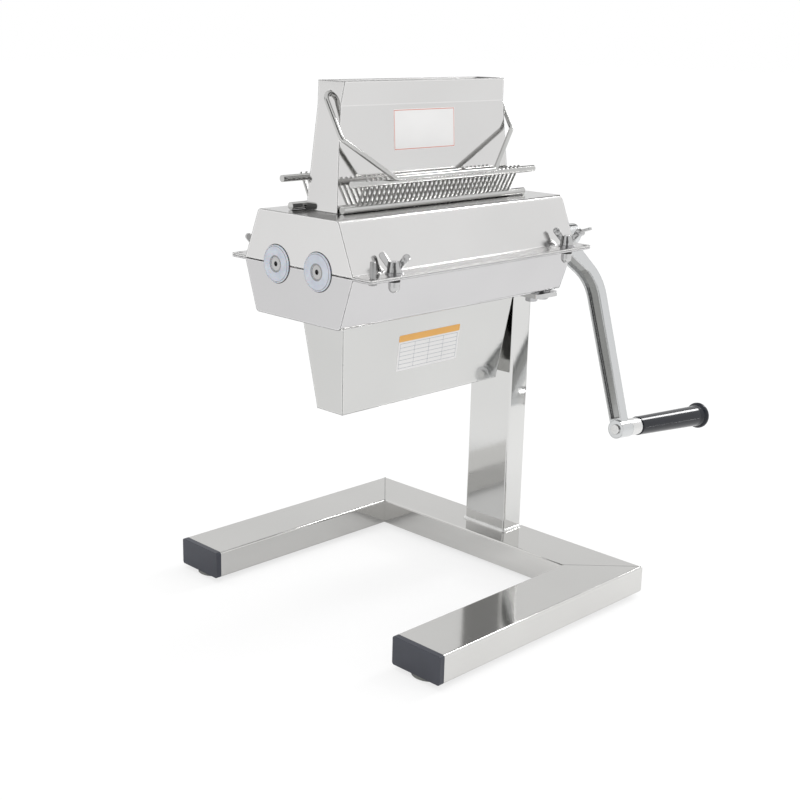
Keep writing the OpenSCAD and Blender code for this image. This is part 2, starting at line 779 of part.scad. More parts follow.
// Plain pin that lines the two flanges up, with a shoulder under the lower flange
module locating_pin(place) {
    shoulder_h = 1.6;
    shoulder_over = 0.8;
    pin_edge = 0.6;
    color("silver") translate([place[0], place[1], waist_z - sheet]) rotate_extrude() polygon([
        [0, -shoulder_h],
        [pin_d / 2 + shoulder_over, -shoulder_h],
        [pin_d / 2 + shoulder_over, 0],
        [pin_d / 2, 0],
        [pin_d / 2, 2 * sheet + pin_rise - pin_edge],
        [pin_d / 2 - pin_edge, 2 * sheet + pin_rise],
        [0, 2 * sheet + pin_rise]
    ]);
}
module front_locating_pin() { locating_pin(pin_places[0]); }
module rear_locating_pin() { locating_pin(pin_places[1]); }

ring_t = 3.2;
ring_d = 9.4;
cap_nut_d = 9;
cap_nut_h = 8.6;
clamp_washer_d = 14;
clamp_washer_t = 1;
nut_z = waist_z + sheet + clamp_washer_t + slack;
hub_share = 0.55;

// Threaded studs through both flanges
module clamp_studs() {
    low_z = waist_z - sheet - ring_t - cap_nut_h / 2;
    color("silver") for (place = stud_places) translate([place[0], place[1], low_z])
        cylinder(h = nut_z + wing_h * hub_share - low_z, r = stud_d / 2);
}

// Dark rings under the lower flange
module stud_rings() {
    color("dimgray") for (place = stud_places) translate(place)
        washer(waist_z - sheet - ring_t, ring_d / 2, stud_d / 2 + fit, ring_t);
}

// Round-ended cap nuts at the studs' lower ends
module stud_caps() {
    dome_h = cap_nut_d / 2;
    steps = 6;
    color("silver") for (place = stud_places)
        translate([place[0], place[1], waist_z - sheet - ring_t]) rotate_extrude() polygon(concat(
            [for (i = [0:steps]) [cap_nut_d / 2 * sin(90 * i / steps),
                -cap_nut_h + dome_h * (1 - cos(90 * i / steps))]],
            [[cap_nut_d / 2, 0], [stud_d / 2 + fit, 0],
                [stud_d / 2 + fit, -cap_nut_h / 2 - slack], [0, -cap_nut_h / 2 - slack]]));
}

module clamp_washers() {
    color("silver") for (place = stud_places) translate(place)
        washer(waist_z + sheet, clamp_washer_d / 2, stud_d / 2 + fit, clamp_washer_t);
}

// Wing nut standing on its base, with its wings along X: a tapered hub and two straight wings
// with round ends that open into a V
module wing_nut(bore_r) {
    hub_h = wing_h * hub_share;
    hub_top_share = 0.78;
    wing_low_share = 0.2;
    wing_high_share = 0.96;
    wing_t = 2.4;
    end_r = 2.7;
    lean = 42;
    end = [wing_span / 2 - end_r, wing_h - end_r];
    root = wing_base_d / 2 * hub_top_share;
    color("silver") difference() {
        union() {
            cylinder(h = hub_h, r1 = wing_base_d / 2, r2 = root);
            for (side = [0, 1]) mirror([side, 0, 0]) across_y(wing_t) {
                polygon([
                    [0, hub_h * wing_low_share], [root, hub_h * wing_low_share],
                    end + polar(end_r, -lean), end + polar(end_r, 180 - lean),
                    [root * hub_top_share, hub_h * wing_high_share], [0, hub_h * wing_high_share]
                ]);
                translate(end) circle(end_r);
            }
        }
        translate([0, 0, -over]) cylinder(h = wing_h + 2 * over, r = bore_r);
    }
}
// Turn of each wing nut about its stud, as the nuts happen to be left
wing_turns = [-66, -52, -12, 14];
module flange_wing_nut(i) {
    translate([stud_places[i][0], stud_places[i][1], nut_z]) rotate([0, 0, wing_turns[i]])
        wing_nut(stud_d / 2 + fit);
}
module wing_nut_front_left() { flange_wing_nut(0); }
module wing_nut_front_right() { flange_wing_nut(1); }
module wing_nut_rear_left() { flange_wing_nut(2); }
module wing_nut_rear_right() { flange_wing_nut(3); }

// Combs and bail

// Round bar between two points of the Y and Z plane
module bar_yz(from, to, r) {
    step = to - from;
    translate([0, from[0], from[1]]) rotate([atan2(-step[0], step[1]), 0, 0])
        cylinder(h = norm(step), r = r, $fn = 24);
}

// Comb at the front: bent fingers that run down between the blades, held by two rods
module comb_at_front() {
    tip = [-tip_y, tip_z];
    knee = [-finger_y, knee_z];
    foot = [-finger_y, finger_foot_z];
    for (i = [0:finger_count - 1]) translate([i * blade_pitch - finger_half, 0, 0]) {
        bar_yz(tip, knee, finger_d / 2);
        translate([0, knee[0], knee[1]]) sphere(finger_d / 2, $fn = 24);
        bar_yz(knee, foot, finger_d / 2);
    }
    translate([rod_shift, -low_rod_y, low_rod_z]) bar_x(-rod_half, rod_half, low_rod_d / 2);
    translate([rod_shift, -high_rod_y, high_rod_z]) bar_x(-rod_half, rod_half, high_rod_d / 2);
}
module front_comb() { color("silver") translate([stack_x[0], 0, 0]) comb_at_front(); }
module rear_comb() {
    color("silver") translate([stack_x[1] - rear_comb_gap_count * blade_pitch, 0, 0])
        rotate([0, 0, 180]) comb_at_front();
}

// Wire bent in one plane through the given points, with true arcs at its bends. A bend is a little
// thinner than the straight wire, and it runs on into the straight wire by a small angle.
module bent_wire(points, wire_r, bend_r) {
    run_in = 2;
    bend_thin_share = 0.98;
    last = len(points) - 1;
    dirs = [for (i = [0:last - 1]) unit(points[i + 1] - points[i])];
    turns = [for (i = [0:last]) i == 0 || i == last ? 0
        : turn(heading(dirs[i]) - heading(dirs[i - 1]))];
    cuts = [for (a = turns) bend_r * tan(abs(a) / 2)];
    for (i = [0:last - 1]) {
        start = points[i] + dirs[i] * cuts[i];
        length = norm(points[i + 1] - points[i]) - cuts[i] - cuts[i + 1];
        translate([start[0], start[1], 0]) rotate([0, 90, heading(dirs[i])])
            cylinder(h = length, r = wire_r);
    }
    for (i = [1:last - 1]) {
        side = sign(turns[i]);
        normal = [-dirs[i - 1][1], dirs[i - 1][0]] * side;
        centre = points[i] - dirs[i - 1] * cuts[i] + normal * bend_r;
        first = heading(dirs[i - 1]) - 90 * side + min(0, turns[i]) - run_in;
        translate([centre[0], centre[1], 0]) rotate([0, 0, first])
            rotate_extrude(angle = abs(turns[i]) + 2 * run_in) translate([bend_r, 0])
                circle(wire_r * bend_thin_share);
    }
}

// Wire bail that swings on the hopper's ends and holds the comb down
module bail() {
    end_x = mouth_half_l - funnel_wall - over;
    color("silver") translate([hopper_x, 0, bail_z]) rotate([-bail_lean, 0, 0]) rotate([90, 0, 0])
        bent_wire([
            [-end_x, 0], [-bail_half, 0], [-bail_half, -bail_leg],
            [-bail_bar_half, -bail_reach], [bail_bar_half, -bail_reach],
            [bail_half, -bail_leg], [bail_half, 0], [end_x, 0]
        ], bail_d / 2, bail_bend);
}

// Rollers

// Outline of one toothed blade
module blade_outline() {
    tip_shares = [0.28, 0.72];
    step = 360 / blade_teeth;
    polygon([for (i = [0:blade_teeth - 1]) for (point = [
        polar(blade_d / 2 - notch_depth, i * step),
        polar(blade_d / 2, (i + tip_shares[0]) * step),
        polar(blade_d / 2, (i + tip_shares[1]) * step)
    ]) point]);
}

module core_hole() {
    circle(core_r + slack, $fn = 6);
}

module blade_stack(roller, y) {
    first_x = stack_x[roller] - (blade_count - 1) * blade_pitch / 2;
    for (i = [0:blade_count - 1]) translate([first_x + i * blade_pitch, y, waist_z])
        along_x(-blade_t / 2, blade_t / 2) difference() {
            blade_outline();
            core_hole();
        }
}
module drive_blades() { color("lightsteelblue") blade_stack(0, front_y); }
module driven_blades() { color("lightsteelblue") blade_stack(1, rear_y); }

// Spacer rings between the blades, a longer one before them and a sleeve up to the gear
module spacer_stack(roller, y) {
    first_x = stack_x[roller] - (blade_count - 1) * blade_pitch / 2;
    ends = concat(
        [[first_x - blade_t / 2 - end_spacer_l, first_x - blade_t / 2]],
        [for (i = [0:blade_count - 2])
            [first_x + i * blade_pitch + blade_t / 2, first_x + (i + 1) * blade_pitch - blade_t / 2]],
        [[stack_x[roller] + stack_half, gear_x0]]);
    for (pair = ends) translate([0, y, waist_z]) along_x(pair[0], pair[1]) difference() {
        circle(spacer_d / 2);
        core_hole();
    }
}
module drive_spacers() { color("silver") spacer_stack(0, front_y); }
module driven_spacers() { color("silver") spacer_stack(1, rear_y); }

function nut_x1(roller) = stack_x[roller] - stack_half - end_spacer_l;

// Round slotted nut that clamps the blades against the shaft's collar
module stack_nut(roller, y) {
    slot_w = 3;
    slot_depth = 1.5;
    x1 = nut_x1(roller);
    color("silver") translate([0, y, waist_z]) along_x(x1 - stack_nut_l, x1) difference() {
        circle(spacer_d / 2);
        circle(core_af / 2 + fit);
        for (a = [0, 90, 180, 270]) rotate([0, 0, a])
            translate([spacer_d / 2 - slot_depth, -slot_w / 2]) square([slot_depth + over, slot_w]);
    }
}
module drive_stack_nut() { stack_nut(0, front_y); }
module driven_stack_nut() { stack_nut(1, rear_y); }

// Roller shaft: journals in the bushes, a thread for the nut, a hexagon core and a collar
module roller_shaft(roller, y, far_x) {
    translate([0, y, waist_z]) difference() {
        union() {
            bar_x(shaft_end_x, far_x, journal_d / 2);
            bar_x(thrust_x0, nut_x1(roller), core_af / 2);
            along_x(nut_x1(roller), gear_x1) circle(core_r, $fn = 6);
            bar_x(gear_x1, thrust_x1, spacer_d / 2);
        }
        bar_x(shaft_end_x - over, shaft_end_x + centre_hole_l, centre_hole_d / 2);
    }
}

// Drive shaft: it goes on through the housing, with a flat and a thread for the crank
module drive_shaft() {
    thread_x1 = boss_x1 + crank_washer_t + slack + wing_h * hub_share + thread_over;
    color("silver") {
        roller_shaft(0, front_y, boss_x0 - slack);
        translate([0, front_y, waist_z]) {
            difference() {
                bar_x(boss_x0 - 2 * slack, boss_x1 - slack, boss_bore_d / 2);
                rotate([-crank_swing, 0, 0])
                    translate([boss_x0, -boss_d / 2, boss_bore_d / 2 - flat_depth])
                        cube([boss_l, boss_d, flat_depth + over]);
            }
            bar_x(boss_x1 - 2 * slack, thread_x1, thread_d / 2);
        }
    }
}

module driven_shaft() {
    color("silver") roller_shaft(1, rear_y, shell_x1 + bush_t - shaft_recess);
}

// Outline of one of the two equal gears, with involute flanks
module gear_outline(phase) {
    pitch_r = roller_half;
    base_r = pitch_r * cos(20);
    tip_r = pitch_r + gear_module;
    root_share = 1.25;
    root_r = pitch_r - root_share * gear_module;
    backlash = 0.1;
    function involute(r) = let (roll = sqrt(max(0, pow(r / base_r, 2) - 1)) * 180 / PI)
        roll - atan(roll * PI / 180);
    function half_angle(r) = 90 / gear_teeth - backlash / pitch_r * 180 / PI
        + involute(pitch_r) - involute(max(r, base_r));
    flank = [root_r, base_r, (base_r + pitch_r) / 2, pitch_r, (pitch_r + tip_r) / 2, tip_r];
    polygon([for (i = [0:gear_teeth - 1]) for (side = [-1, 1]) for (k = [0:len(flank) - 1])
        let (r = flank[side < 0 ? k : len(flank) - 1 - k])
        polar(r, (i + phase) * 360 / gear_teeth + side * half_angle(r))]);
}

module gear(y, phase) {
    color("darkgray") translate([0, y, waist_z]) along_x(gear_x0, gear_x1) difference() {
        gear_outline(phase);
        core_hole();
    }
}
module drive_gear() { gear(front_y, 0); }
module driven_gear() { gear(rear_y, 0.5); }

// Crank

// Everything on the crank is drawn hanging straight down and then swung about the roller axis
module at_crank() {
    translate([0, front_y, waist_z]) rotate([-crank_swing, 0, 0]) children();
}

// Places along the arm's middle line in the X and Z plane, with a smooth bend
bend_share = 0.27;
bend_steps = 6;
arm_start = [boss_mid_x - start_in, 0];
arm_bend = [bend_x, -bend_drop];
arm_end = [grip_x, -crank_throw];
function mix(a, b, t) = a + (b - a) * t;
bend_from = mix(arm_bend, arm_start, bend_share);
bend_to = arm_bend + unit(arm_end - arm_bend) * norm(bend_from - arm_bend);
arm_line = concat([arm_start],
    [for (i = [0:bend_steps]) let (t = i / bend_steps)
        mix(mix(bend_from, arm_bend, t), mix(arm_bend, bend_to, t), t)],
    [arm_end]);
function arm_direction(i) = unit(arm_line[min(i + 1, len(arm_line) - 1)] - arm_line[max(i - 1, 0)]);
function arm_normal(i) = [-arm_direction(i)[1], arm_direction(i)[0]];
function arm_t(i) = i == 0 ? arm_top_t : i == len(arm_line) - 1 ? arm_foot_t : arm_bend_t;

module crank_arm() {
    last = len(arm_line) - 1;
    outer = [for (i = [0:last]) arm_line[i] + arm_normal(i) * arm_t(i) / 2];
    inner = [for (i = [0:last]) arm_line[i] - arm_normal(i) * arm_t(i) / 2];
    floor_line = [for (i = [0:last]) inner[i] + arm_normal(i) * channel_depth];
    outside = [for (i = [0:last]) inner[i] - arm_normal(i) * channel_depth];
    module width_outline(inset, z0, z1) {
        function half_w(z) = mix(arm_top_w, arm_foot_w, -z / crank_throw) / 2 - inset;
        polygon([[-half_w(z0), z0], [half_w(z0), z0], [half_w(z1), z1], [-half_w(z1), z1]]);
    }
    channel_z0 = -boss_d / 2 - channel_rim;
    channel_z1 = -crank_throw + grip_boss_d / 2 + channel_rim;
    color("silver") at_crank() difference() {
        union() {
            bar_x(boss_x0, boss_x1, boss_d / 2);
            intersection() {
                across_y(2 * arm_top_w) polygon(concat(outer, [for (i = [last:-1:0]) inner[i]]));
                along_x(boss_x0, bend_x + boss_l) width_outline(0, boss_d / 2, -crank_throw);
            }
            translate([grip_x, 0, -crank_throw]) rotate([0, grip_tilt, 0])
                bar_x(-grip_boss_in, grip_boss_half, grip_boss_d / 2);
        }
        intersection() {
            across_y(2 * arm_top_w)
                polygon(concat(floor_line, [for (i = [last:-1:0]) outside[i]]));
            along_x(boss_x0 - boss_l, bend_x + boss_l)
                width_outline(channel_rim, channel_z0, channel_z1);
        }
        difference() {
            bar_x(boss_x0 - over, boss_x1 + over, boss_bore_d / 2 + fit);
            translate([boss_x0 - 2 * over, -boss_d / 2, boss_bore_d / 2 - flat_depth + fit])
                cube([boss_l + 4 * over, boss_d, flat_depth]);
        }
        translate([grip_x, 0, -crank_throw]) rotate([0, grip_tilt, 0])
            bar_x(-grip_boss_in - over, grip_boss_half + over, spindle_d / 2 + fit);
    }
}
grip_boss_in = 7;

// Sleeve on the shaft between the front bush and the crank's boss
module crank_sleeve() {
    sleeve_over = 3;
    color("silver") translate([0, front_y, waist_z])
        along_x(shell_x1 + bush_t + slack, boss_x0 - slack) difference() {
            circle(journal_d / 2 + sleeve_over);
            circle(journal_d / 2 + fit);
        }
}

module crank_washer() {
    color("silver") translate([0, front_y, waist_z])
        along_x(boss_x1, boss_x1 + crank_washer_t) difference() {
            circle(crank_washer_d / 2);
            circle(thread_d / 2 + fit);
        }
}

module crank_wing_nut() {
    translate([boss_x1 + crank_washer_t + slack, front_y, waist_z])
        rotate([-crank_nut_turn, 0, 0]) rotate([0, 90, 0]) wing_nut(thread_d / 2 + fit);
}

// Everything on the grip's axis is drawn along X from the middle of the arm
module at_grip() {
    at_crank() translate([grip_x, 0, -crank_throw]) rotate([0, grip_tilt, 0]) children();
}
grip_start = grip_boss_half + ferrule_l + rest_gap;
spindle_share = 0.78;
spindle_end = grip_start + spindle_share * grip_l;
spindle_head_t = 3;
spindle_head_over = 2;

// Riveted spindle with the metal collar in front of the grip and a head inside it
module grip_spindle() {
    rivet_d = 9;
    rivet_t = 1.6;
    color("silver") at_grip() {
        bar_x(-grip_boss_in - rivet_t, -grip_boss_in, rivet_d / 2);
        bar_x(-grip_boss_in - rivet_t / 2, spindle_end, spindle_d / 2);
        bar_x(grip_boss_half, grip_boss_half + ferrule_l, ferrule_d / 2);
        bar_x(spindle_end, spindle_end + spindle_head_t, spindle_d / 2 + spindle_head_over);
    }
}

// Black grip that turns on the spindle: a long taper that ends in a rounded disc
module crank_grip() {
    cavity_end = spindle_end + spindle_head_t + rest_gap;
    cavity_r = spindle_d / 2 + spindle_head_over + rest_gap;
    neck_share = 0.88;
    dome_steps = 6;
    edge_r = 1.2;
    color("black") at_grip() rotate([0, 90, 0]) rotate_extrude() polygon(concat(
        [
            [spindle_d / 2 + fit, grip_start],
            [grip_d0 / 2 - edge_r, grip_start],
            [grip_d0 / 2, grip_start + edge_r],
            [grip_d1 / 2, grip_start + grip_l * neck_share]
        ],
        [for (i = [0:dome_steps]) let (a = -60 + 150 * i / dome_steps)
            [(grip_end_d - grip_end_t + grip_end_t * cos(a)) / 2,
                grip_start + grip_l + (sin(a) - 1) * grip_end_t / 2]],
        [
            [0, grip_start + grip_l],
            [0, cavity_end],
            [cavity_r, cavity_end],
            [cavity_r, spindle_end - rest_gap],
            [spindle_d / 2 + fit, spindle_end - rest_gap]
        ]));
}

front_leg();
rear_leg();
crossbar();
front_leg_cap();
rear_leg_cap();
foot_front_left();
foot_front_right();
foot_rear_left();
foot_rear_right();
foot_screws();
post();
post_weld();
post_plate();
head_spacers();
head_bolts();
head_nuts();
lower_shell();
discharge_chute();
upper_shell();
feed_hopper();
bush_front_left();
bush_rear_left();
bush_front_right();
bush_rear_right();
front_locating_pin();
rear_locating_pin();
clamp_studs();
stud_rings();
stud_caps();
clamp_washers();
wing_nut_front_left();
wing_nut_front_right();
wing_nut_rear_left();
wing_nut_rear_right();
front_comb();
rear_comb();
bail();
drive_shaft();
drive_blades();
drive_spacers();
drive_gear();
drive_stack_nut();
driven_shaft();
driven_blades();
driven_spacers();
driven_gear();
driven_stack_nut();
crank_arm();
crank_sleeve();
crank_washer();
crank_wing_nut();
grip_spindle();
crank_grip();
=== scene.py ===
import json
import math

import bmesh
import bpy
from mathutils import Matrix, Vector


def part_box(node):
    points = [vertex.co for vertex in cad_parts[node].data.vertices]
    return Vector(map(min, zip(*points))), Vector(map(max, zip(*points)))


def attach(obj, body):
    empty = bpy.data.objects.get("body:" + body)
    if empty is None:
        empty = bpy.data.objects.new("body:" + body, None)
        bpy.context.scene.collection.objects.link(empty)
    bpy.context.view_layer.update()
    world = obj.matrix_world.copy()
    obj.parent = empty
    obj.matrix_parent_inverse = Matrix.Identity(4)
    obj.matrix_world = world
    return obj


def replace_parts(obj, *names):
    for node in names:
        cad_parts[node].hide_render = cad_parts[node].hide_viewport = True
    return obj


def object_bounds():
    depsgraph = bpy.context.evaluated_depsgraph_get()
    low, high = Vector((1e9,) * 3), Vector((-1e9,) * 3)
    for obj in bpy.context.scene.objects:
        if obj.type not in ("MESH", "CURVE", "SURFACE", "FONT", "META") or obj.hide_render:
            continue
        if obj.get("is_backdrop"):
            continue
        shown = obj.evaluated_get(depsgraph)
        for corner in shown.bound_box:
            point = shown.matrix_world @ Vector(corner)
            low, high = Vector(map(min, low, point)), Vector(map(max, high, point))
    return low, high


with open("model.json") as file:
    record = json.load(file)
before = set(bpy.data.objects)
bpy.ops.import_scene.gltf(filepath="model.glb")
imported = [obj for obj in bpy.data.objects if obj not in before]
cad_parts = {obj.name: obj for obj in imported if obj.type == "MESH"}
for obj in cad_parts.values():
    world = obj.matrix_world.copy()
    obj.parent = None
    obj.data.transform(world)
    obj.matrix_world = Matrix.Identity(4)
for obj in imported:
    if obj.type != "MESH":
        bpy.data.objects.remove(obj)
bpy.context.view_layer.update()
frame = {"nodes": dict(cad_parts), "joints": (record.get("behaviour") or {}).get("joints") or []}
cad = frame["nodes"]


# Stand: two legs and a crossbar of flat stainless tube, mitred and welded at the corners and
# polished until they mirror what stands above them. A polished face is never quite even: fine
# polishing lines run along it and it waves very slightly, which the reflections show.
def new_finish(name):
    finish = bpy.data.materials.new(name)
    finish.use_nodes = True
    nodes, links = finish.node_tree.nodes, finish.node_tree.links
    return finish, nodes, links, nodes["Principled BSDF"]


def grain(nodes, links, stretch, scale, detail=3.0):
    place = nodes.new("ShaderNodeTexCoord")
    lay = nodes.new("ShaderNodeMapping")
    lay.inputs["Scale"].default_value = stretch
    noise = nodes.new("ShaderNodeTexNoise")
    noise.inputs["Scale"].default_value = scale
    noise.inputs["Detail"].default_value = detail
    links.new(place.outputs["Object"], lay.inputs["Vector"])
    links.new(lay.outputs["Vector"], noise.inputs["Vector"])
    return noise.outputs["Fac"]


def between(nodes, links, fac, low, high):
    spread = nodes.new("ShaderNodeMapRange")
    spread.inputs["From Min"].default_value = 0.3
    spread.inputs["From Max"].default_value = 0.7
    spread.inputs["To Min"].default_value = low
    spread.inputs["To Max"].default_value = high
    links.new(fac, spread.inputs["Value"])
    return spread.outputs["Result"]


def tint(nodes, links, fac, dark, light):
    ramp = nodes.new("ShaderNodeValToRGB")
    ramp.color_ramp.elements[0].position = 0.3
    ramp.color_ramp.elements[0].color = (*dark, 1)
    ramp.color_ramp.elements[1].position = 0.7
    ramp.color_ramp.elements[1].color = (*light, 1)
    links.new(fac, ramp.inputs["Fac"])
    return ramp.outputs["Color"]


def ripple(nodes, links, fac, distance, strength, under):
    bump = nodes.new("ShaderNodeBump")
    bump.inputs["Distance"].default_value = distance
    bump.inputs["Strength"].default_value = strength
    links.new(fac, bump.inputs["Height"])
    links.new(under, bump.inputs["Normal"])
    return bump.outputs["Normal"]


def eased_edges(nodes, radius):
    edge = nodes.new("ShaderNodeBevel")
    edge.samples = 6
    edge.inputs["Radius"].default_value = radius
    return edge.outputs["Normal"]


def polished_sheet(name, tone, rough, stretch, edge, painted_fold_radius=0.0):
    finish, nodes, links, shader = new_finish(name)
    lines = grain(nodes, links, stretch, 60, 4)
    sweep = grain(nodes, links, (1, 1, 1), 9, 2)
    colour = tint(nodes, links, sweep, [t * 0.95 for t in tone], tone)
    if painted_fold_radius:
        colour = painted_fold_shade_and_highlight(nodes, links, colour, painted_fold_radius)
    links.new(colour, shader.inputs["Base Color"])
    links.new(between(nodes, links, lines, rough * 0.8, rough * 1.25), shader.inputs["Roughness"])
    wave = ripple(nodes, links, sweep, 0.002, 0.12, eased_edges(nodes, edge))
    links.new(ripple(nodes, links, lines, 0.00004, 0.2, wave), shader.inputs["Normal"])
    shader.inputs["Metallic"].default_value = 1.0
    return finish


def dress(name, finish):
    cad[name].data.materials.clear()
    cad[name].data.materials.append(finish)


leg_steel = polished_sheet("leg_steel", (0.70, 0.695, 0.68), 0.09, (1, 14, 14), 0.0004)
bar_steel = polished_sheet("bar_steel", (0.70, 0.695, 0.68), 0.09, (14, 1, 14), 0.0004)
for name in ("front_leg", "rear_leg"):
    dress(name, leg_steel)
dress("crossbar", bar_steel)


# Mitres: the welds across the corners are ground off and polished, which leaves a faint flat line
# over the top of each corner.
def bright_metal(name, tone, rough, size, depth, edge):
    finish, nodes, links, shader = new_finish(name)
    fine = grain(nodes, links, (1, 1, 1), size, 3)
    broad = grain(nodes, links, (1, 1, 1), 45, 2)
    links.new(tint(nodes, links, broad, [t * 0.9 for t in tone], tone), shader.inputs["Base Color"])
    links.new(between(nodes, links, fine, rough * 0.8, rough * 1.3), shader.inputs["Roughness"])
    normal = ripple(nodes, links, fine, depth, 0.3, eased_edges(nodes, edge))
    links.new(normal, shader.inputs["Normal"])
    shader.inputs["Metallic"].default_value = 1.0
    return finish


def skin(form, rings, closed=False):
    loops = [[form.verts.new(point) for point in ring] for ring in rings]
    for a, b in list(zip(loops, loops[1:])) + ([(loops[-1], loops[0])] if closed else []):
        for i in range(len(a)):
            form.faces.new((a[i - 1], a[i], b[i], b[i - 1]))
    if not closed:
        form.faces.new(loops[0])
        form.faces.new(loops[-1])


def new_piece(name, form, finish, body):
    bmesh.ops.recalc_face_normals(form, faces=form.faces)
    mesh = bpy.data.meshes.new(name)
    form.to_mesh(mesh)
    form.free()
    mesh.shade_smooth()
    mesh.set_sharp_from_angle(angle=math.radians(35))
    mesh.materials.append(finish)
    piece = bpy.data.objects.new(name, mesh)
    bpy.context.scene.collection.objects.link(piece)
    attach(piece, body)
    return piece


ground_weld = bright_metal("ground_weld", (0.50, 0.50, 0.49), 0.2, 900, 0.00004, 0.0002)
bar_low, bar_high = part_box("crossbar")
outer_gap, inner_gap = 0.0012, 0.0004
weld_hump = ((-0.0007, -0.0003), (-0.0006, 0.00002), (0, 0.00007), (0.0006, 0.00002),
             (0.0007, -0.0003))
form = bmesh.new()
for side in (-1, 1):
    outer = Vector((bar_high.x - outer_gap, side * (bar_high.y - outer_gap), bar_high.z))
    inner_y = bar_high.y - (bar_high.x - bar_low.x) + inner_gap
    inner = Vector((bar_low.x + inner_gap, side * inner_y, bar_high.z))
    across = (outer - inner).cross(Vector((0, 0, 1))).normalized()
    skin(form, [[end + across * a + Vector((0, 0, b)) for a, b in weld_hump]
                for end in (inner, outer)])
new_piece("mitre_welds", form, ground_weld, "stand")


# End caps: moulded dark blue-grey plastic plugs pressed into the open ends of the legs. The mould
# leaves them with a fine even grain.
def moulded(name, dark, light, rough, size, depth, edge):
    finish, nodes, links, shader = new_finish(name)
    fine = grain(nodes, links, (1, 1, 1), size, 2)
    broad = grain(nodes, links, (1, 1, 1), 30, 2)
    links.new(tint(nodes, links, broad, dark, light), shader.inputs["Base Color"])
    links.new(between(nodes, links, broad, rough * 0.85, rough * 1.15), shader.inputs["Roughness"])
    normal = ripple(nodes, links, fine, depth, 0.5, eased_edges(nodes, edge))
    links.new(normal, shader.inputs["Normal"])
    return finish


cap_plastic = moulded("cap_plastic", (0.031, 0.034, 0.046), (0.042, 0.046, 0.061), 0.42, 1400,
                      0.00006, 0.0006)
dress("front_leg_cap", cap_plastic)
dress("rear_leg_cap", cap_plastic)


# Feet: four low discs of grey rubber, each held by a screw from below.
foot_rubber = moulded("foot_rubber", (0.17, 0.175, 0.165), (0.23, 0.235, 0.225), 0.6, 900,
                      0.0001, 0.0005)
for name in ("foot_front_left", "foot_front_right", "foot_rear_left", "foot_rear_right"):
    dress(name, foot_rubber)
dark_screw = bright_metal("dark_screw", (0.16, 0.16, 0.165), 0.35, 700, 0.00004, 0.0002)
dress("foot_screws", dark_screw)


# Post: the same flat tube, stood upright on the crossbar, and a thick plate on top of it that
# carries the head.
post_steel = polished_sheet("post_steel", (0.70, 0.70, 0.69), 0.08, (14, 14, 1), 0.0004)
dress("post", post_steel)
plate_steel = bright_metal("plate_steel", (0.60, 0.60, 0.60), 0.2, 500, 0.00005, 0.0004)
dress("post_plate", plate_steel)


# Weld round the post's foot: a bright bead laid by hand in short steps, one over the other, so
# that it is rippled all the way round. On the crossbar's outer side it is narrow.
weld_metal = bright_metal("weld_metal", (0.74, 0.74, 0.73), 0.22, 900, 0.00005, 0.0002)
post_low, post_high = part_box("post")
bead_low, bead_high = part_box("post_weld")
corner = 0.002
bead_step, bead_pitch, bead_sink = 0.0006, 0.0030, 0.0003
turns = ((post_high.x, post_high.y, 0), (post_low.x, post_high.y, 90),
         (post_low.x, post_low.y, 180), (post_high.x, post_low.y, 270))
path = []
for (x, y, start), (next_x, next_y, _) in zip(turns, turns[1:] + turns[:1]):
    middle = Vector((x - math.copysign(corner, x - post_low.x - 0.001),
                     y - math.copysign(corner, y), 0))
    for step in range(7):
        angle = math.radians(start + 15 * step)
        out = Vector((math.cos(angle), math.sin(angle), 0))
        path.append((middle + out * corner, out))
    run = Vector((next_x - x, next_y - y, 0))
    length = run.length - 2 * corner
    for step in range(1, int(length / bead_step)):
        path.append((path[-step][0] + run.normalized() * bead_step * step, out))
gone, rings, last = 0, [], path[0][0]
for point, out in path:
    gone += (point - last).length
    last = point
    swell = 0.86 + 0.14 * abs(math.cos(math.pi * gone / bead_pitch))
    wide = (bead_low.x - post_low.x) * -1
    wide = (wide + max(out.x, 0) * (bead_high.x - post_high.x - wide)) * swell
    high = (bead_high.z - bead_low.z) * swell
    ring = [point - out * bead_sink, point - out * bead_sink + Vector((0, 0, high))]
    for step in range(7):
        angle = math.radians(90 - 15 * step)
        ring.append(point + out * wide * math.cos(angle) + Vector((0, 0, high * math.sin(angle))))
    rings.append([p + Vector((0, 0, bead_low.z)) for p in ring])
form = bmesh.new()
skin(form, rings, closed=True)
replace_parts(new_piece("rippled_weld", form, weld_metal, "stand"), "post_weld")


# Bolts of the head: hexagon bolts from below with chamfered corners, washers between the plate and
# the housing, and nuts inside it, all plain stainless.
def hexagon_bolt(form, x, y, flats, face_z, seat_z, end_z, shank):
    up = 1 if end_z > seat_z else -1
    tip_chamfer = 0.0006
    hexagon = []
    for step in range(72):
        angle = math.radians(5 * step)
        spread = flats / 2 / math.cos(math.radians((5 * step) % 60 - 30))
        hexagon.append((spread, Vector((-math.sin(angle), math.cos(angle), 0))))
    middle = Vector((x, y, 0))
    flat = flats * 0.47
    rings = [[middle + d * flat + Vector((0, 0, face_z)) for _, d in hexagon],
             [middle + d * r + Vector((0, 0, face_z + up * (r - flat) * 0.5)) for r, d in hexagon],
             [middle + d * r + Vector((0, 0, seat_z)) for r, d in hexagon],
             [middle + d * shank + Vector((0, 0, seat_z)) for _, d in hexagon],
             [middle + d * shank + Vector((0, 0, end_z - up * tip_chamfer)) for _, d in hexagon],
             [middle + d * (shank - tip_chamfer) + Vector((0, 0, end_z)) for _, d in hexagon]]
    skin(form, rings)


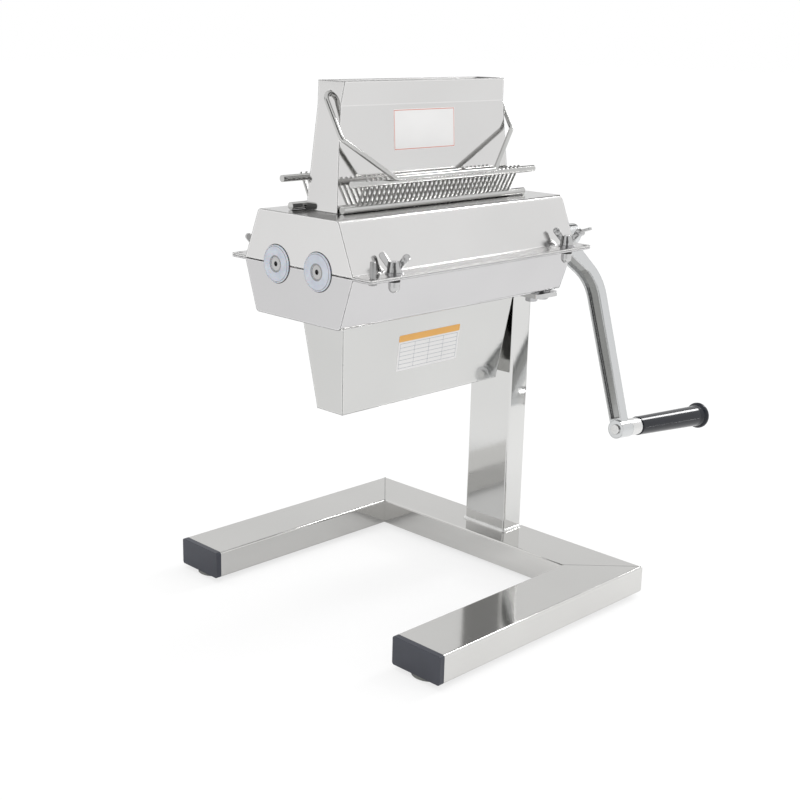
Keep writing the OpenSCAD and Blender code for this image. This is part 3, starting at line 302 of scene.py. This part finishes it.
bolt_steel = bright_metal("bolt_steel", (0.52, 0.52, 0.53), 0.2, 700, 0.00004, 0.0003)
bolts_low, bolts_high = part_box("head_bolts")
flats, shank_r = 0.010, 0.003
reach_x = flats / 2 / math.cos(math.radians(30))
form = bmesh.new()
for x in (bolts_low.x + reach_x, bolts_high.x - reach_x):
    for y in (bolts_low.y + flats / 2, bolts_high.y - flats / 2):
        hexagon_bolt(form, x, y, flats, bolts_low.z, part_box("post_plate")[0].z, bolts_high.z,
                     shank_r)
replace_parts(new_piece("chamfered_bolts", form, bolt_steel, "stand"),
            "head_bolts")
for name in ("head_spacers", "head_nuts"):
    dress(name, bolt_steel)


# Housing: two halves of folded stainless sheet, clamped flange to flange, with polished end panels.
# The chute and the hopper are folded from the same sheet. Each fold has a painted dark line of
# shade with painted highlights beside it.
# Painted shade and painted highlight: a dark line along each fold, with bright lines beside it,
# drawn into the base colour.
def painted_fold_shade_and_highlight(nodes, links, colour, radius):
    dark, plain = 0.05, 0.72
    face = nodes.new("ShaderNodeNewGeometry")
    turned = nodes.new("ShaderNodeVectorMath")
    turned.operation = "DOT_PRODUCT"
    links.new(eased_edges(nodes, radius), turned.inputs[0])
    links.new(face.outputs["True Normal"], turned.inputs[1])
    lines = nodes.new("ShaderNodeValToRGB")
    lines.color_ramp.elements[0].position = 0.84
    lines.color_ramp.elements[0].color = (dark, dark, dark, 1)
    lines.color_ramp.elements[1].position = 1.0
    lines.color_ramp.elements[1].color = (plain, plain, plain, 1)
    for spot in (0.875, 0.985):
        lines.color_ramp.elements.new(spot).color = (1, 1, 1, 1)
    links.new(turned.outputs["Value"], lines.inputs["Fac"])
    full = nodes.new("ShaderNodeVectorMath")
    full.operation = "SCALE"
    full.inputs["Scale"].default_value = 1 / plain
    links.new(colour, full.inputs[0])
    painted_shading = nodes.new("ShaderNodeVectorMath")
    painted_shading.operation = "MULTIPLY"
    links.new(full.outputs["Vector"], painted_shading.inputs[0])
    links.new(lines.outputs["Color"], painted_shading.inputs[1])
    return painted_shading.outputs["Vector"]


sheet_ease, painted_fold_width = 0.0014, 0.0020
# Painted shade: the lower shell and the chute are toned darker than the other sheets of the same
# stainless.
for name, finish_name, tone, rough in (
        ("upper_shell", "shell_steel", (0.70, 0.695, 0.69), 0.15),
        ("lower_shell", "under_steel", (0.60, 0.595, 0.60), 0.12),
        ("discharge_chute", "chute_steel", (0.62, 0.62, 0.61), 0.07),
        ("feed_hopper", "hopper_steel", (0.68, 0.675, 0.67), 0.07)):
    dress(name, polished_sheet(finish_name, tone, rough, (1, 14, 14), sheet_ease, painted_fold_width))


# Stickers: one on the hopper and one on the chute, of thin white film, left blank. The first has a
# fine red line round its edge, the second an orange band and an empty ruled table.
def on_panel(node, x, z):
    _, point, facing, _ = cad[node].ray_cast(Vector((x, -1, z)), Vector((0, 1, 0)))
    return point, facing


def patch(form, origin, up, facing, left, right, low, high, under, over, corner):
    outline = []
    for x, y, start in ((right, high, 0), (left, high, 90), (left, low, 180), (right, low, 270)):
        middle_x = x - math.copysign(corner, x - (left + right) / 2)
        middle_y = y - math.copysign(corner, y - (low + high) / 2)
        for step in range(5):
            angle = math.radians(start + 22.5 * step)
            outline.append((middle_x + corner * math.cos(angle),
                            middle_y + corner * math.sin(angle)))
    skin(form, [[origin + Vector((a, 0, 0)) + up * b + facing * lift for a, b in outline]
                for lift in (under, over)])


def film(name, tone):
    return moulded(name, [t * 0.96 for t in tone], tone, 0.38, 300, 0.00002, 0.00005)


white_film = film("white_film", (0.79, 0.785, 0.78))
red_ink = film("red_ink", (0.62, 0.16, 0.11))
orange_ink = film("orange_ink", (0.80, 0.42, 0.10))
grey_ink = film("grey_ink", (0.30, 0.32, 0.36))
film_top, ink_foot, ink_top = 0.00010, 0.00005, 0.00013
margin, rule, row_pitch, band = 0.002, 0.0003, 0.0036, 0.0058
for name, node, body, x0, x1, z0, z1 in (
        ("hopper", "feed_hopper", "upper_housing", -0.1315, -0.0605, 0.3855, 0.4175),
        ("chute", "discharge_chute", "stand", -0.1272, -0.0535, 0.2050, 0.2360)):
    foot, facing = on_panel(node, (x0 + x1) / 2, z0)
    top, _ = on_panel(node, (x0 + x1) / 2, z1)
    up = (top - foot).normalized()
    tall, half = (top - foot).length, (x1 - x0) / 2
    form = bmesh.new()
    patch(form, foot, up, facing, -half, half, 0, tall, 0, film_top, 0.001)
    new_piece(name + "_sticker", form, white_film, body)
    form = bmesh.new()
    if name == "hopper":
        edge, line = 0.0006, 0.0005
        for left, right, low, high in (
                (-half + edge, half - edge, edge, edge + line),
                (-half + edge, half - edge, tall - edge - line, tall - edge),
                (-half + edge, -half + edge + line, edge, tall - edge),
                (half - edge - line, half - edge, edge, tall - edge)):
            patch(form, foot, up, facing, left, right, low, high, ink_foot, ink_top, line * 0.4)
        new_piece("hopper_sticker_line", form, red_ink, body)
    else:
        patch(form, foot, up, facing, -half, half, tall - band, tall, ink_foot, ink_top, 0.001)
        new_piece("chute_sticker_band", form, orange_ink, body)
        form = bmesh.new()
        rows = [margin + step * row_pitch for step in range(7)]
        for low in rows:
            patch(form, foot, up, facing, -half + margin, half - margin, low, low + rule,
                  ink_foot, 0.00012, 0.0001)
        for step in range(5):
            left = -half + margin + step * (2 * half - 2 * margin - rule) / 4
            patch(form, foot, up, facing, left, left + rule, rows[0], rows[-1],
                  ink_foot, ink_top, 0.0001)
        new_piece("chute_sticker_table", form, grey_ink, body)


# Bushes: bluish white plastic bearings turned from bar, clamped in the seam of the end panels. The
# lathe leaves fine rings on their faces, and two grooves on them are painted as dark shade lines.
# A dark ring of painted shade lies in the gap round each of them.
def turned_plastic(name, y, z, rim):
    finish, nodes, links, shader = new_finish(name)
    place = nodes.new("ShaderNodeTexCoord")
    shift = nodes.new("ShaderNodeMapping")
    shift.inputs["Location"].default_value = (0, -y, -z)
    shift.inputs["Scale"].default_value = (0, 1, 1)
    rings = nodes.new("ShaderNodeTexWave")
    rings.wave_type = "RINGS"
    rings.rings_direction = "X"
    rings.inputs["Scale"].default_value = 320
    rings.inputs["Distortion"].default_value = 0.6
    links.new(place.outputs["Object"], shift.inputs["Vector"])
    links.new(shift.outputs["Vector"], rings.inputs["Vector"])
    cloud = grain(nodes, links, (1, 1, 1), 120, 2)
    colour = tint(nodes, links, cloud, (0.50, 0.53, 0.60), (0.60, 0.63, 0.69))
    radius = nodes.new("ShaderNodeVectorMath")
    radius.operation = "LENGTH"
    links.new(shift.outputs["Vector"], radius.inputs[0])
    # Painted shade: two dark rings on the face stand for the shade inside its grooves.
    for middle, half, tone in ((rim - 0.0011, 0.0002, 0.22), (0.0062, 0.0006, 0.26)):
        groove = nodes.new("ShaderNodeMath")
        groove.operation = "COMPARE"
        groove.inputs[1].default_value = middle
        groove.inputs[2].default_value = half
        links.new(radius.outputs["Value"], groove.inputs[0])
        painted_groove_shade = nodes.new("ShaderNodeMix")
        painted_groove_shade.data_type = "RGBA"
        painted_groove_shade.inputs["B"].default_value = (tone, tone, tone, 1)
        links.new(groove.outputs[0], painted_groove_shade.inputs["Factor"])
        links.new(colour, painted_groove_shade.inputs["A"])
        colour = painted_groove_shade.outputs["Result"]
    links.new(colour, shader.inputs["Base Color"])
    links.new(between(nodes, links, cloud, 0.32, 0.42), shader.inputs["Roughness"])
    links.new(ripple(nodes, links, rings.outputs["Fac"], 0.00003, 0.4, eased_edges(nodes, 0.0004)),
              shader.inputs["Normal"])
    shader.inputs["Subsurface Weight"].default_value = 0.15
    shader.inputs["Subsurface Scale"].default_value = 0.002
    return finish


# Painted shade: a thin dark ring lies in the gap round each bush.
painted_gap_shade = moulded("painted_gap_shade", (0.018, 0.018, 0.018), (0.030, 0.029, 0.028), 0.3, 700, 0.00003, 0.0001)
form = bmesh.new()
for name in ("bush_front_left", "bush_rear_left", "bush_front_right", "bush_rear_right"):
    low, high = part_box(name)
    y, z, radius = (low.y + high.y) / 2, (low.z + high.z) / 2, (high.z - low.z) / 2
    dress(name, turned_plastic(name + "_plastic", y, z, radius))
    outward = -1 if name.endswith("left") else 1
    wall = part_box("upper_shell")[0 if outward < 0 else 1].x
    rings = []
    for reach, lift in ((0, -0.0002), (0, 0.0003), (0.0006, 0.0002), (0.0009, -0.0002)):
        rings.append([Vector((wall + outward * lift, y + (radius + reach - 0.0001) * math.cos(a),
                              z + (radius + reach - 0.0001) * math.sin(a)))
                      for a in [math.radians(5 * step) for step in range(72)]])
    skin(form, rings, closed=True)
new_piece("bush_joints", form, painted_gap_shade, "stand")


# Clamps: threaded studs through both flanges, with washers and cast wing nuts above, and dark
# rings and round-ended cap nuts below. Two plain pins line the flanges up.
def threaded_rod(form, x, y, radius, low_z, high_z, pitch):
    rings = []
    count = int((high_z - low_z) / pitch * 6)
    for level in range(count + 1):
        z = low_z + (high_z - low_z) * level / count
        chamfer = max(0, 0.0007 - min(z - low_z, high_z - z))
        ring = []
        for step in range(24):
            turn = (z / pitch - step / 24) % 1
            depth = pitch * 0.6 * min(1, max(0, abs(turn * 2 - 1) * 1.3 - 0.15))
            reach = min(radius - depth, radius - chamfer)
            angle = math.radians(15 * step)
            ring.append(Vector((x + reach * math.cos(angle), y + reach * math.sin(angle), z)))
        rings.append(ring)
    skin(form, rings)


dress("clamp_washers", bolt_steel)
pin_steel = bright_metal("pin_steel", (0.36, 0.36, 0.36), 0.14, 700, 0.00004, 0.0004)
for name in ("front_locating_pin", "rear_locating_pin"):
    dress(name, pin_steel)
cap_nut_steel = bright_metal("cap_nut_steel", (0.60, 0.60, 0.60), 0.22, 700, 0.00004, 0.0003)
dress("stud_caps", cap_nut_steel)
ring_steel = bright_metal("ring_steel", (0.06, 0.06, 0.06), 0.35, 700, 0.00004, 0.0002)
dress("stud_rings", ring_steel)
studs_low, studs_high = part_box("clamp_studs")
form = bmesh.new()
for name in ("front_left", "front_right", "rear_left", "rear_right"):
    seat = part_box("wing_nut_" + name)[0].z + 0.0002
    rim = [v.co for v in cad["wing_nut_" + name].data.vertices if v.co.z < seat]
    x = (min(p.x for p in rim) + max(p.x for p in rim)) / 2
    y = (min(p.y for p in rim) + max(p.y for p in rim)) / 2
    threaded_rod(form, x, y, 0.003, studs_low.z, studs_high.z, 0.001)
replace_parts(new_piece("threaded_studs", form, bolt_steel, "stand"),
            "clamp_studs")
wing_metal = bright_metal("wing_metal", (0.50, 0.50, 0.50), 0.07, 320, 0.0009, 0.0006)
for name in ("wing_nut_front_left", "wing_nut_front_right", "wing_nut_rear_left",
             "wing_nut_rear_right", "crank_wing_nut"):
    dress(name, wing_metal)


# Combs and bail: bright drawn stainless wire. The fingers pass through two rods, and the bail
# swings on the hopper's ends.
wire_steel = bright_metal("wire_steel", (0.56, 0.56, 0.55), 0.08, 500, 0.00004, 0.0002)
for name in ("front_comb", "rear_comb", "bail"):
    dress(name, wire_steel)


# Rollers: turned shafts with a hexagon core, ground blades with spacers between them, and a pair
# of equal gears.
shaft_steel = bright_metal("shaft_steel", (0.52, 0.52, 0.52), 0.2, 700, 0.00004, 0.0003)
blade_steel = bright_metal("blade_steel", (0.60, 0.61, 0.62), 0.18, 500, 0.00004, 0.0002)
gear_steel = bright_metal("gear_steel", (0.46, 0.46, 0.46), 0.3, 600, 0.00005, 0.0003)
for name in ("drive_shaft", "driven_shaft", "drive_spacers", "driven_spacers",
             "drive_stack_nut", "driven_stack_nut", "crank_sleeve", "crank_washer"):
    dress(name, shaft_steel)
for name in ("drive_blades", "driven_blades"):
    dress(name, blade_steel)
for name in ("drive_gear", "driven_gear"):
    dress(name, gear_steel)


# Crank: a cast arm, plated bright over a skin that still waves a little, with a riveted spindle
# for the grip. Painted shade darkens the channel of its inner side and the hollows.
def joint_to(child):
    return [joint for joint in frame["joints"] if joint["child"] == child][0]


crank_plate = bright_metal("crank_plate", (0.62, 0.63, 0.635), 0.13, 70, 0.0004, 0.0012)
nodes, links = crank_plate.node_tree.nodes, crank_plate.node_tree.links
top = Vector(joint_to("drive")["pos_m"])
foot = Vector(joint_to("grip")["pos_m"])
down = Vector((0, foot.y - top.y, foot.z - top.z))
throw = down.length
down.normalize()
across = down.cross(Vector((1, 0, 0)))
channel_half, channel_shift, channel_end = 0.0055, 0.002, 0.012
place = nodes.new("ShaderNodeTexCoord")


def within(line, middle, half):
    along = nodes.new("ShaderNodeVectorMath")
    along.operation = "DOT_PRODUCT"
    along.inputs[1].default_value = line
    links.new(place.outputs["Object"], along.inputs[0])
    near = nodes.new("ShaderNodeMath")
    near.operation = "COMPARE"
    near.inputs[1].default_value = middle
    near.inputs[2].default_value = half
    links.new(along.outputs["Value"], near.inputs[0])
    return near.outputs[0]


facing = nodes.new("ShaderNodeSeparateXYZ")
links.new(place.outputs["Normal"], facing.inputs[0])
inner_side = nodes.new("ShaderNodeMath")
inner_side.operation = "LESS_THAN"
inner_side.inputs[1].default_value = -0.3
links.new(facing.outputs["X"], inner_side.inputs[0])
channel = inner_side.outputs[0]
for mask in (within(across, top.dot(across), channel_half),
             within(down, top.dot(down) + throw / 2 + channel_shift, throw / 2 - channel_end)):
    both = nodes.new("ShaderNodeMath")
    both.operation = "MULTIPLY"
    links.new(channel, both.inputs[0])
    links.new(mask, both.inputs[1])
    channel = both.outputs[0]
# Painted shade: ambient occlusion darkens the hollows, and the channel of the inner side is darker
# still.
painted_hollow_shade = nodes.new("ShaderNodeAmbientOcclusion")
painted_hollow_shade.samples = 8
painted_hollow_shade.inputs["Distance"].default_value = 0.003
rim = tint(nodes, links, painted_hollow_shade.outputs["AO"], (0.16, 0.165, 0.17), (0.62, 0.63, 0.635))
painted_channel_shade = tint(nodes, links, painted_hollow_shade.outputs["AO"], (0.10, 0.10, 0.10), (0.36, 0.365, 0.36))
plating_with_painted_shade = nodes.new("ShaderNodeMix")
plating_with_painted_shade.data_type = "RGBA"
links.new(channel, plating_with_painted_shade.inputs["Factor"])
links.new(rim, plating_with_painted_shade.inputs["A"])
links.new(painted_channel_shade, plating_with_painted_shade.inputs["B"])
links.new(plating_with_painted_shade.outputs["Result"], nodes["Principled BSDF"].inputs["Base Color"])
dress("crank_arm", crank_plate)
spindle_metal = bright_metal("spindle_metal", (0.74, 0.74, 0.735), 0.2, 300, 0.0001, 0.0005)
dress("grip_spindle", spindle_metal)


# Grip: glossy black plastic, moulded in one piece over its bore. The two halves of the mould leave
# a fine raised line along both sides.
grip_plastic = moulded("grip_plastic", (0.008, 0.009, 0.013), (0.012, 0.014, 0.020), 0.12, 60,
                       0.0001, 0.0008)
grip_plastic.node_tree.nodes["Principled BSDF"].inputs["Specular IOR Level"].default_value = 0.30
dress("crank_grip", grip_plastic)
hinge = joint_to("grip")
start, along = Vector(hinge["pos_m"]), Vector(hinge["axis"]).normalized()
seam_start, seam_step, seam_steps = 0.026, 0.001, 98
seam_hump = ((-0.0005, -0.0002), (-0.0002, 0.00008), (0, 0.00014), (0.0002, 0.00008),
             (0.0005, -0.0002))
form = bmesh.new()
for sign in (-1, 1):
    out = along.cross(Vector((0, 0, 1))).normalized() * sign
    side = along.cross(out)
    rings = []
    for step in range(seam_steps):
        outside = start + along * (seam_start + seam_step * step) + out * 0.05
        hit, point, _, _ = cad["crank_grip"].ray_cast(outside, -out)
        if hit:
            rings.append([point + side * a + out * b for a, b in seam_hump])
    skin(form, rings)
new_piece("grip_mould_lines", form, grip_plastic, "grip")


# Studio: a plain pale floor, soft light from above and both sides, and a white surround. Only
# reflections see the grey cards, which draw darker lines on the steel. Reflections also see the
# floor darker near the stand, and a painted shadow darkens it round the rear leg.
bpy.ops.mesh.primitive_plane_add(size=30, location=(0, 0, 0))
floor = bpy.context.object
floor.name = "floor"
floor_white, nodes, links, shader = new_finish("floor_white")
nodes.remove(shader)
soft = nodes.new("ShaderNodeBsdfDiffuse")
floor_tone = 0.9
glow = nodes.new("ShaderNodeEmission")
glow.inputs["Color"].default_value = (1, 1, 1, 1)
glow.inputs["Strength"].default_value = 1.03
place = nodes.new("ShaderNodeTexCoord")
away = nodes.new("ShaderNodeVectorMath")
away.operation = "LENGTH"
links.new(place.outputs["Object"], away.inputs[0])
fades = []
for near, far, level in ((0.35, 0.9, 0.70), (0.36, 1.0, 0.22)):
    fade = nodes.new("ShaderNodeMapRange")
    fade.inputs["From Min"].default_value = near
    fade.inputs["From Max"].default_value = far
    fade.inputs["To Min"].default_value = level
    links.new(away.outputs["Value"], fade.inputs["Value"])
    fades.append(fade.outputs["Result"])
route = nodes.new("ShaderNodeLightPath")
choice = nodes.new("ShaderNodeMix")
links.new(route.outputs["Is Glossy Ray"], choice.inputs["Factor"])
links.new(fades[0], choice.inputs["A"])
links.new(fades[1], choice.inputs["B"])
blend = nodes.new("ShaderNodeMixShader")
links.new(choice.outputs["Result"], blend.inputs["Fac"])
# Painted shadow: reflections see the floor's colour darker round a spot by the rear leg.
painted_shadow_reach = nodes.new("ShaderNodeVectorMath")
painted_shadow_reach.operation = "DISTANCE"
painted_shadow_reach.inputs[1].default_value = (-0.12, 0.13, 0)
links.new(place.outputs["Object"], painted_shadow_reach.inputs[0])
painted_shading = nodes.new("ShaderNodeMapRange")
painted_shading.inputs["From Min"].default_value = 0.08
painted_shading.inputs["From Max"].default_value = 0.18
painted_shading.inputs["To Min"].default_value = 0.60
painted_shading.inputs["To Max"].default_value = floor_tone
links.new(painted_shadow_reach.outputs["Value"], painted_shading.inputs["Value"])
floor_tone_with_painted_shadow = nodes.new("ShaderNodeMix")
floor_tone_with_painted_shadow.inputs["A"].default_value = floor_tone
links.new(route.outputs["Is Glossy Ray"], floor_tone_with_painted_shadow.inputs["Factor"])
links.new(painted_shading.outputs["Result"], floor_tone_with_painted_shadow.inputs["B"])
links.new(floor_tone_with_painted_shadow.outputs["Result"], soft.inputs["Color"])
links.new(soft.outputs["BSDF"], blend.inputs[1])
links.new(glow.outputs["Emission"], blend.inputs[2])


def seen_straight_or_in_metal(nodes, links):
    path = nodes.new("ShaderNodeLightPath")
    seen = nodes.new("ShaderNodeMath")
    seen.operation = "MAXIMUM"
    links.new(path.outputs["Is Camera Ray"], seen.inputs[0])
    links.new(path.outputs["Is Glossy Ray"], seen.inputs[1])
    through = nodes.new("ShaderNodeMath")
    through.operation = "MAXIMUM"
    links.new(seen.outputs[0], through.inputs[0])
    links.new(path.outputs["Is Transmission Ray"], through.inputs[1])
    return through.outputs[0]


pick = nodes.new("ShaderNodeMixShader")
links.new(seen_straight_or_in_metal(nodes, links), pick.inputs["Fac"])
links.new(soft.outputs["BSDF"], pick.inputs[1])
links.new(blend.outputs["Shader"], pick.inputs[2])
links.new(pick.outputs["Shader"], nodes["Material Output"].inputs["Surface"])
floor.data.materials.append(floor_white)
floor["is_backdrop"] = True

surround = bpy.data.worlds.new("surround")
surround.use_nodes = True
bpy.context.scene.world = surround
nodes, links = surround.node_tree.nodes, surround.node_tree.links
level = nodes.new("ShaderNodeMapRange")
level.inputs["To Min"].default_value = 0.62
level.inputs["To Max"].default_value = 1.0
links.new(seen_straight_or_in_metal(nodes, links), level.inputs["Value"])
nodes["Background"].inputs["Color"].default_value = (1, 1, 1, 1)
links.new(level.outputs["Result"], nodes["Background"].inputs["Strength"])

centre = Vector((-0.05, 0, 0.2))


def facing_centre(place):
    return (centre - Vector(place)).to_track_quat("-Z", "Y")


for name, place, size, power, mirrored in (
        ("left_light", (-1.6, -1.2, 1.5), 1.6, 16, False),
        ("right_light", (1.2, -1.8, 1.2), 1.4, 8, False),
        ("top_light", (-0.1, 0.2, 2.0), 1.6, 12, False),
        ("edge_light", (1.32, -0.25, 1.62), 0.25, 3.0, True),
        ("grip_light", (1.71, -0.16, 1.09), 0.42, 9.0, True)):
    lamp = bpy.data.lights.new(name, "AREA")
    lamp.shape = "SQUARE"
    lamp.size = size
    lamp.energy = power
    holder = bpy.data.objects.new(name, lamp)
    bpy.context.scene.collection.objects.link(holder)
    holder.location = place
    holder.rotation_mode = "QUATERNION"
    holder.rotation_quaternion = facing_centre(place)
    holder.visible_glossy = mirrored

for name, place, wide, tall, tone in (
        ("card_front", (-0.57, -0.54, 0.55), 0.55, 0.8, 0.16),
        ("card_right", (0.78, 0.36, 1.02), 0.60, 0.40, 0.09),
        ("card_left", (-0.88, -0.36, 1.02), 0.60, 0.40, 0.09),
        ("card_back", (-1.12, 1.15, 0.88), 0.90, 0.42, 0.34),
        ("card_far", (1.10, 1.15, 0.75), 1.60, 0.90, 0.80)):
    card_grey, nodes, links, shader = new_finish(name + "_grey")
    nodes.remove(shader)
    shade = nodes.new("ShaderNodeEmission")
    shade.inputs["Color"].default_value = (1, 1, 1, 1)
    shade.inputs["Strength"].default_value = tone
    links.new(shade.outputs["Emission"], nodes["Material Output"].inputs["Surface"])
    form = bmesh.new()
    form.faces.new([form.verts.new((a * wide / 2, b * tall / 2, 0))
                    for a, b in ((-1, -1), (1, -1), (1, 1), (-1, 1))])
    mesh = bpy.data.meshes.new(name)
    form.to_mesh(mesh)
    form.free()
    mesh.materials.append(card_grey)
    card = bpy.data.objects.new(name, mesh)
    bpy.context.scene.collection.objects.link(card)
    card.location = place
    card.rotation_mode = "QUATERNION"
    card.rotation_quaternion = facing_centre(place)
    card.visible_camera = False
    card.visible_diffuse = False
    card.visible_shadow = False
    card.visible_transmission = False
    card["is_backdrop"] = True


# Camera: at the picture's place, front left and a little above the hopper's rim. It is turned by
# about a degree, as the picture is.
focal_px, frame_px, distance = 1320.4, 800, 1.097
stand_middle_x = (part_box("front_leg_cap")[0].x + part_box("crossbar")[1].x) / 2
azimuth, elevation, roll = math.radians(-44.0), math.radians(15.7), math.radians(0.9)
target = Vector((stand_middle_x - 0.0627, 0, 0.1811))
back = Vector((math.sin(azimuth) * math.cos(elevation), -math.cos(azimuth) * math.cos(elevation),
               math.sin(elevation)))
level_right = Vector((math.cos(azimuth), math.sin(azimuth), 0))
level_up = back.cross(level_right)
right = level_right * math.cos(roll) + level_up * math.sin(roll)
up = level_up * math.cos(roll) - level_right * math.sin(roll)
camera = bpy.data.cameras.new("camera")
camera.sensor_width = 36
camera.lens = focal_px * camera.sensor_width / frame_px
camera.shift_x = 0.05
camera.clip_start = 0.01
camera.clip_end = 60
viewer = bpy.data.objects.new("camera", camera)
bpy.context.scene.collection.objects.link(viewer)
viewer.matrix_world = (Matrix.Translation(target + back * distance)
                       @ Matrix((right, up, back)).transposed().to_4x4())
bpy.context.scene.camera = viewer
bpy.context.scene.view_settings.view_transform = "Standard"

low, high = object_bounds()
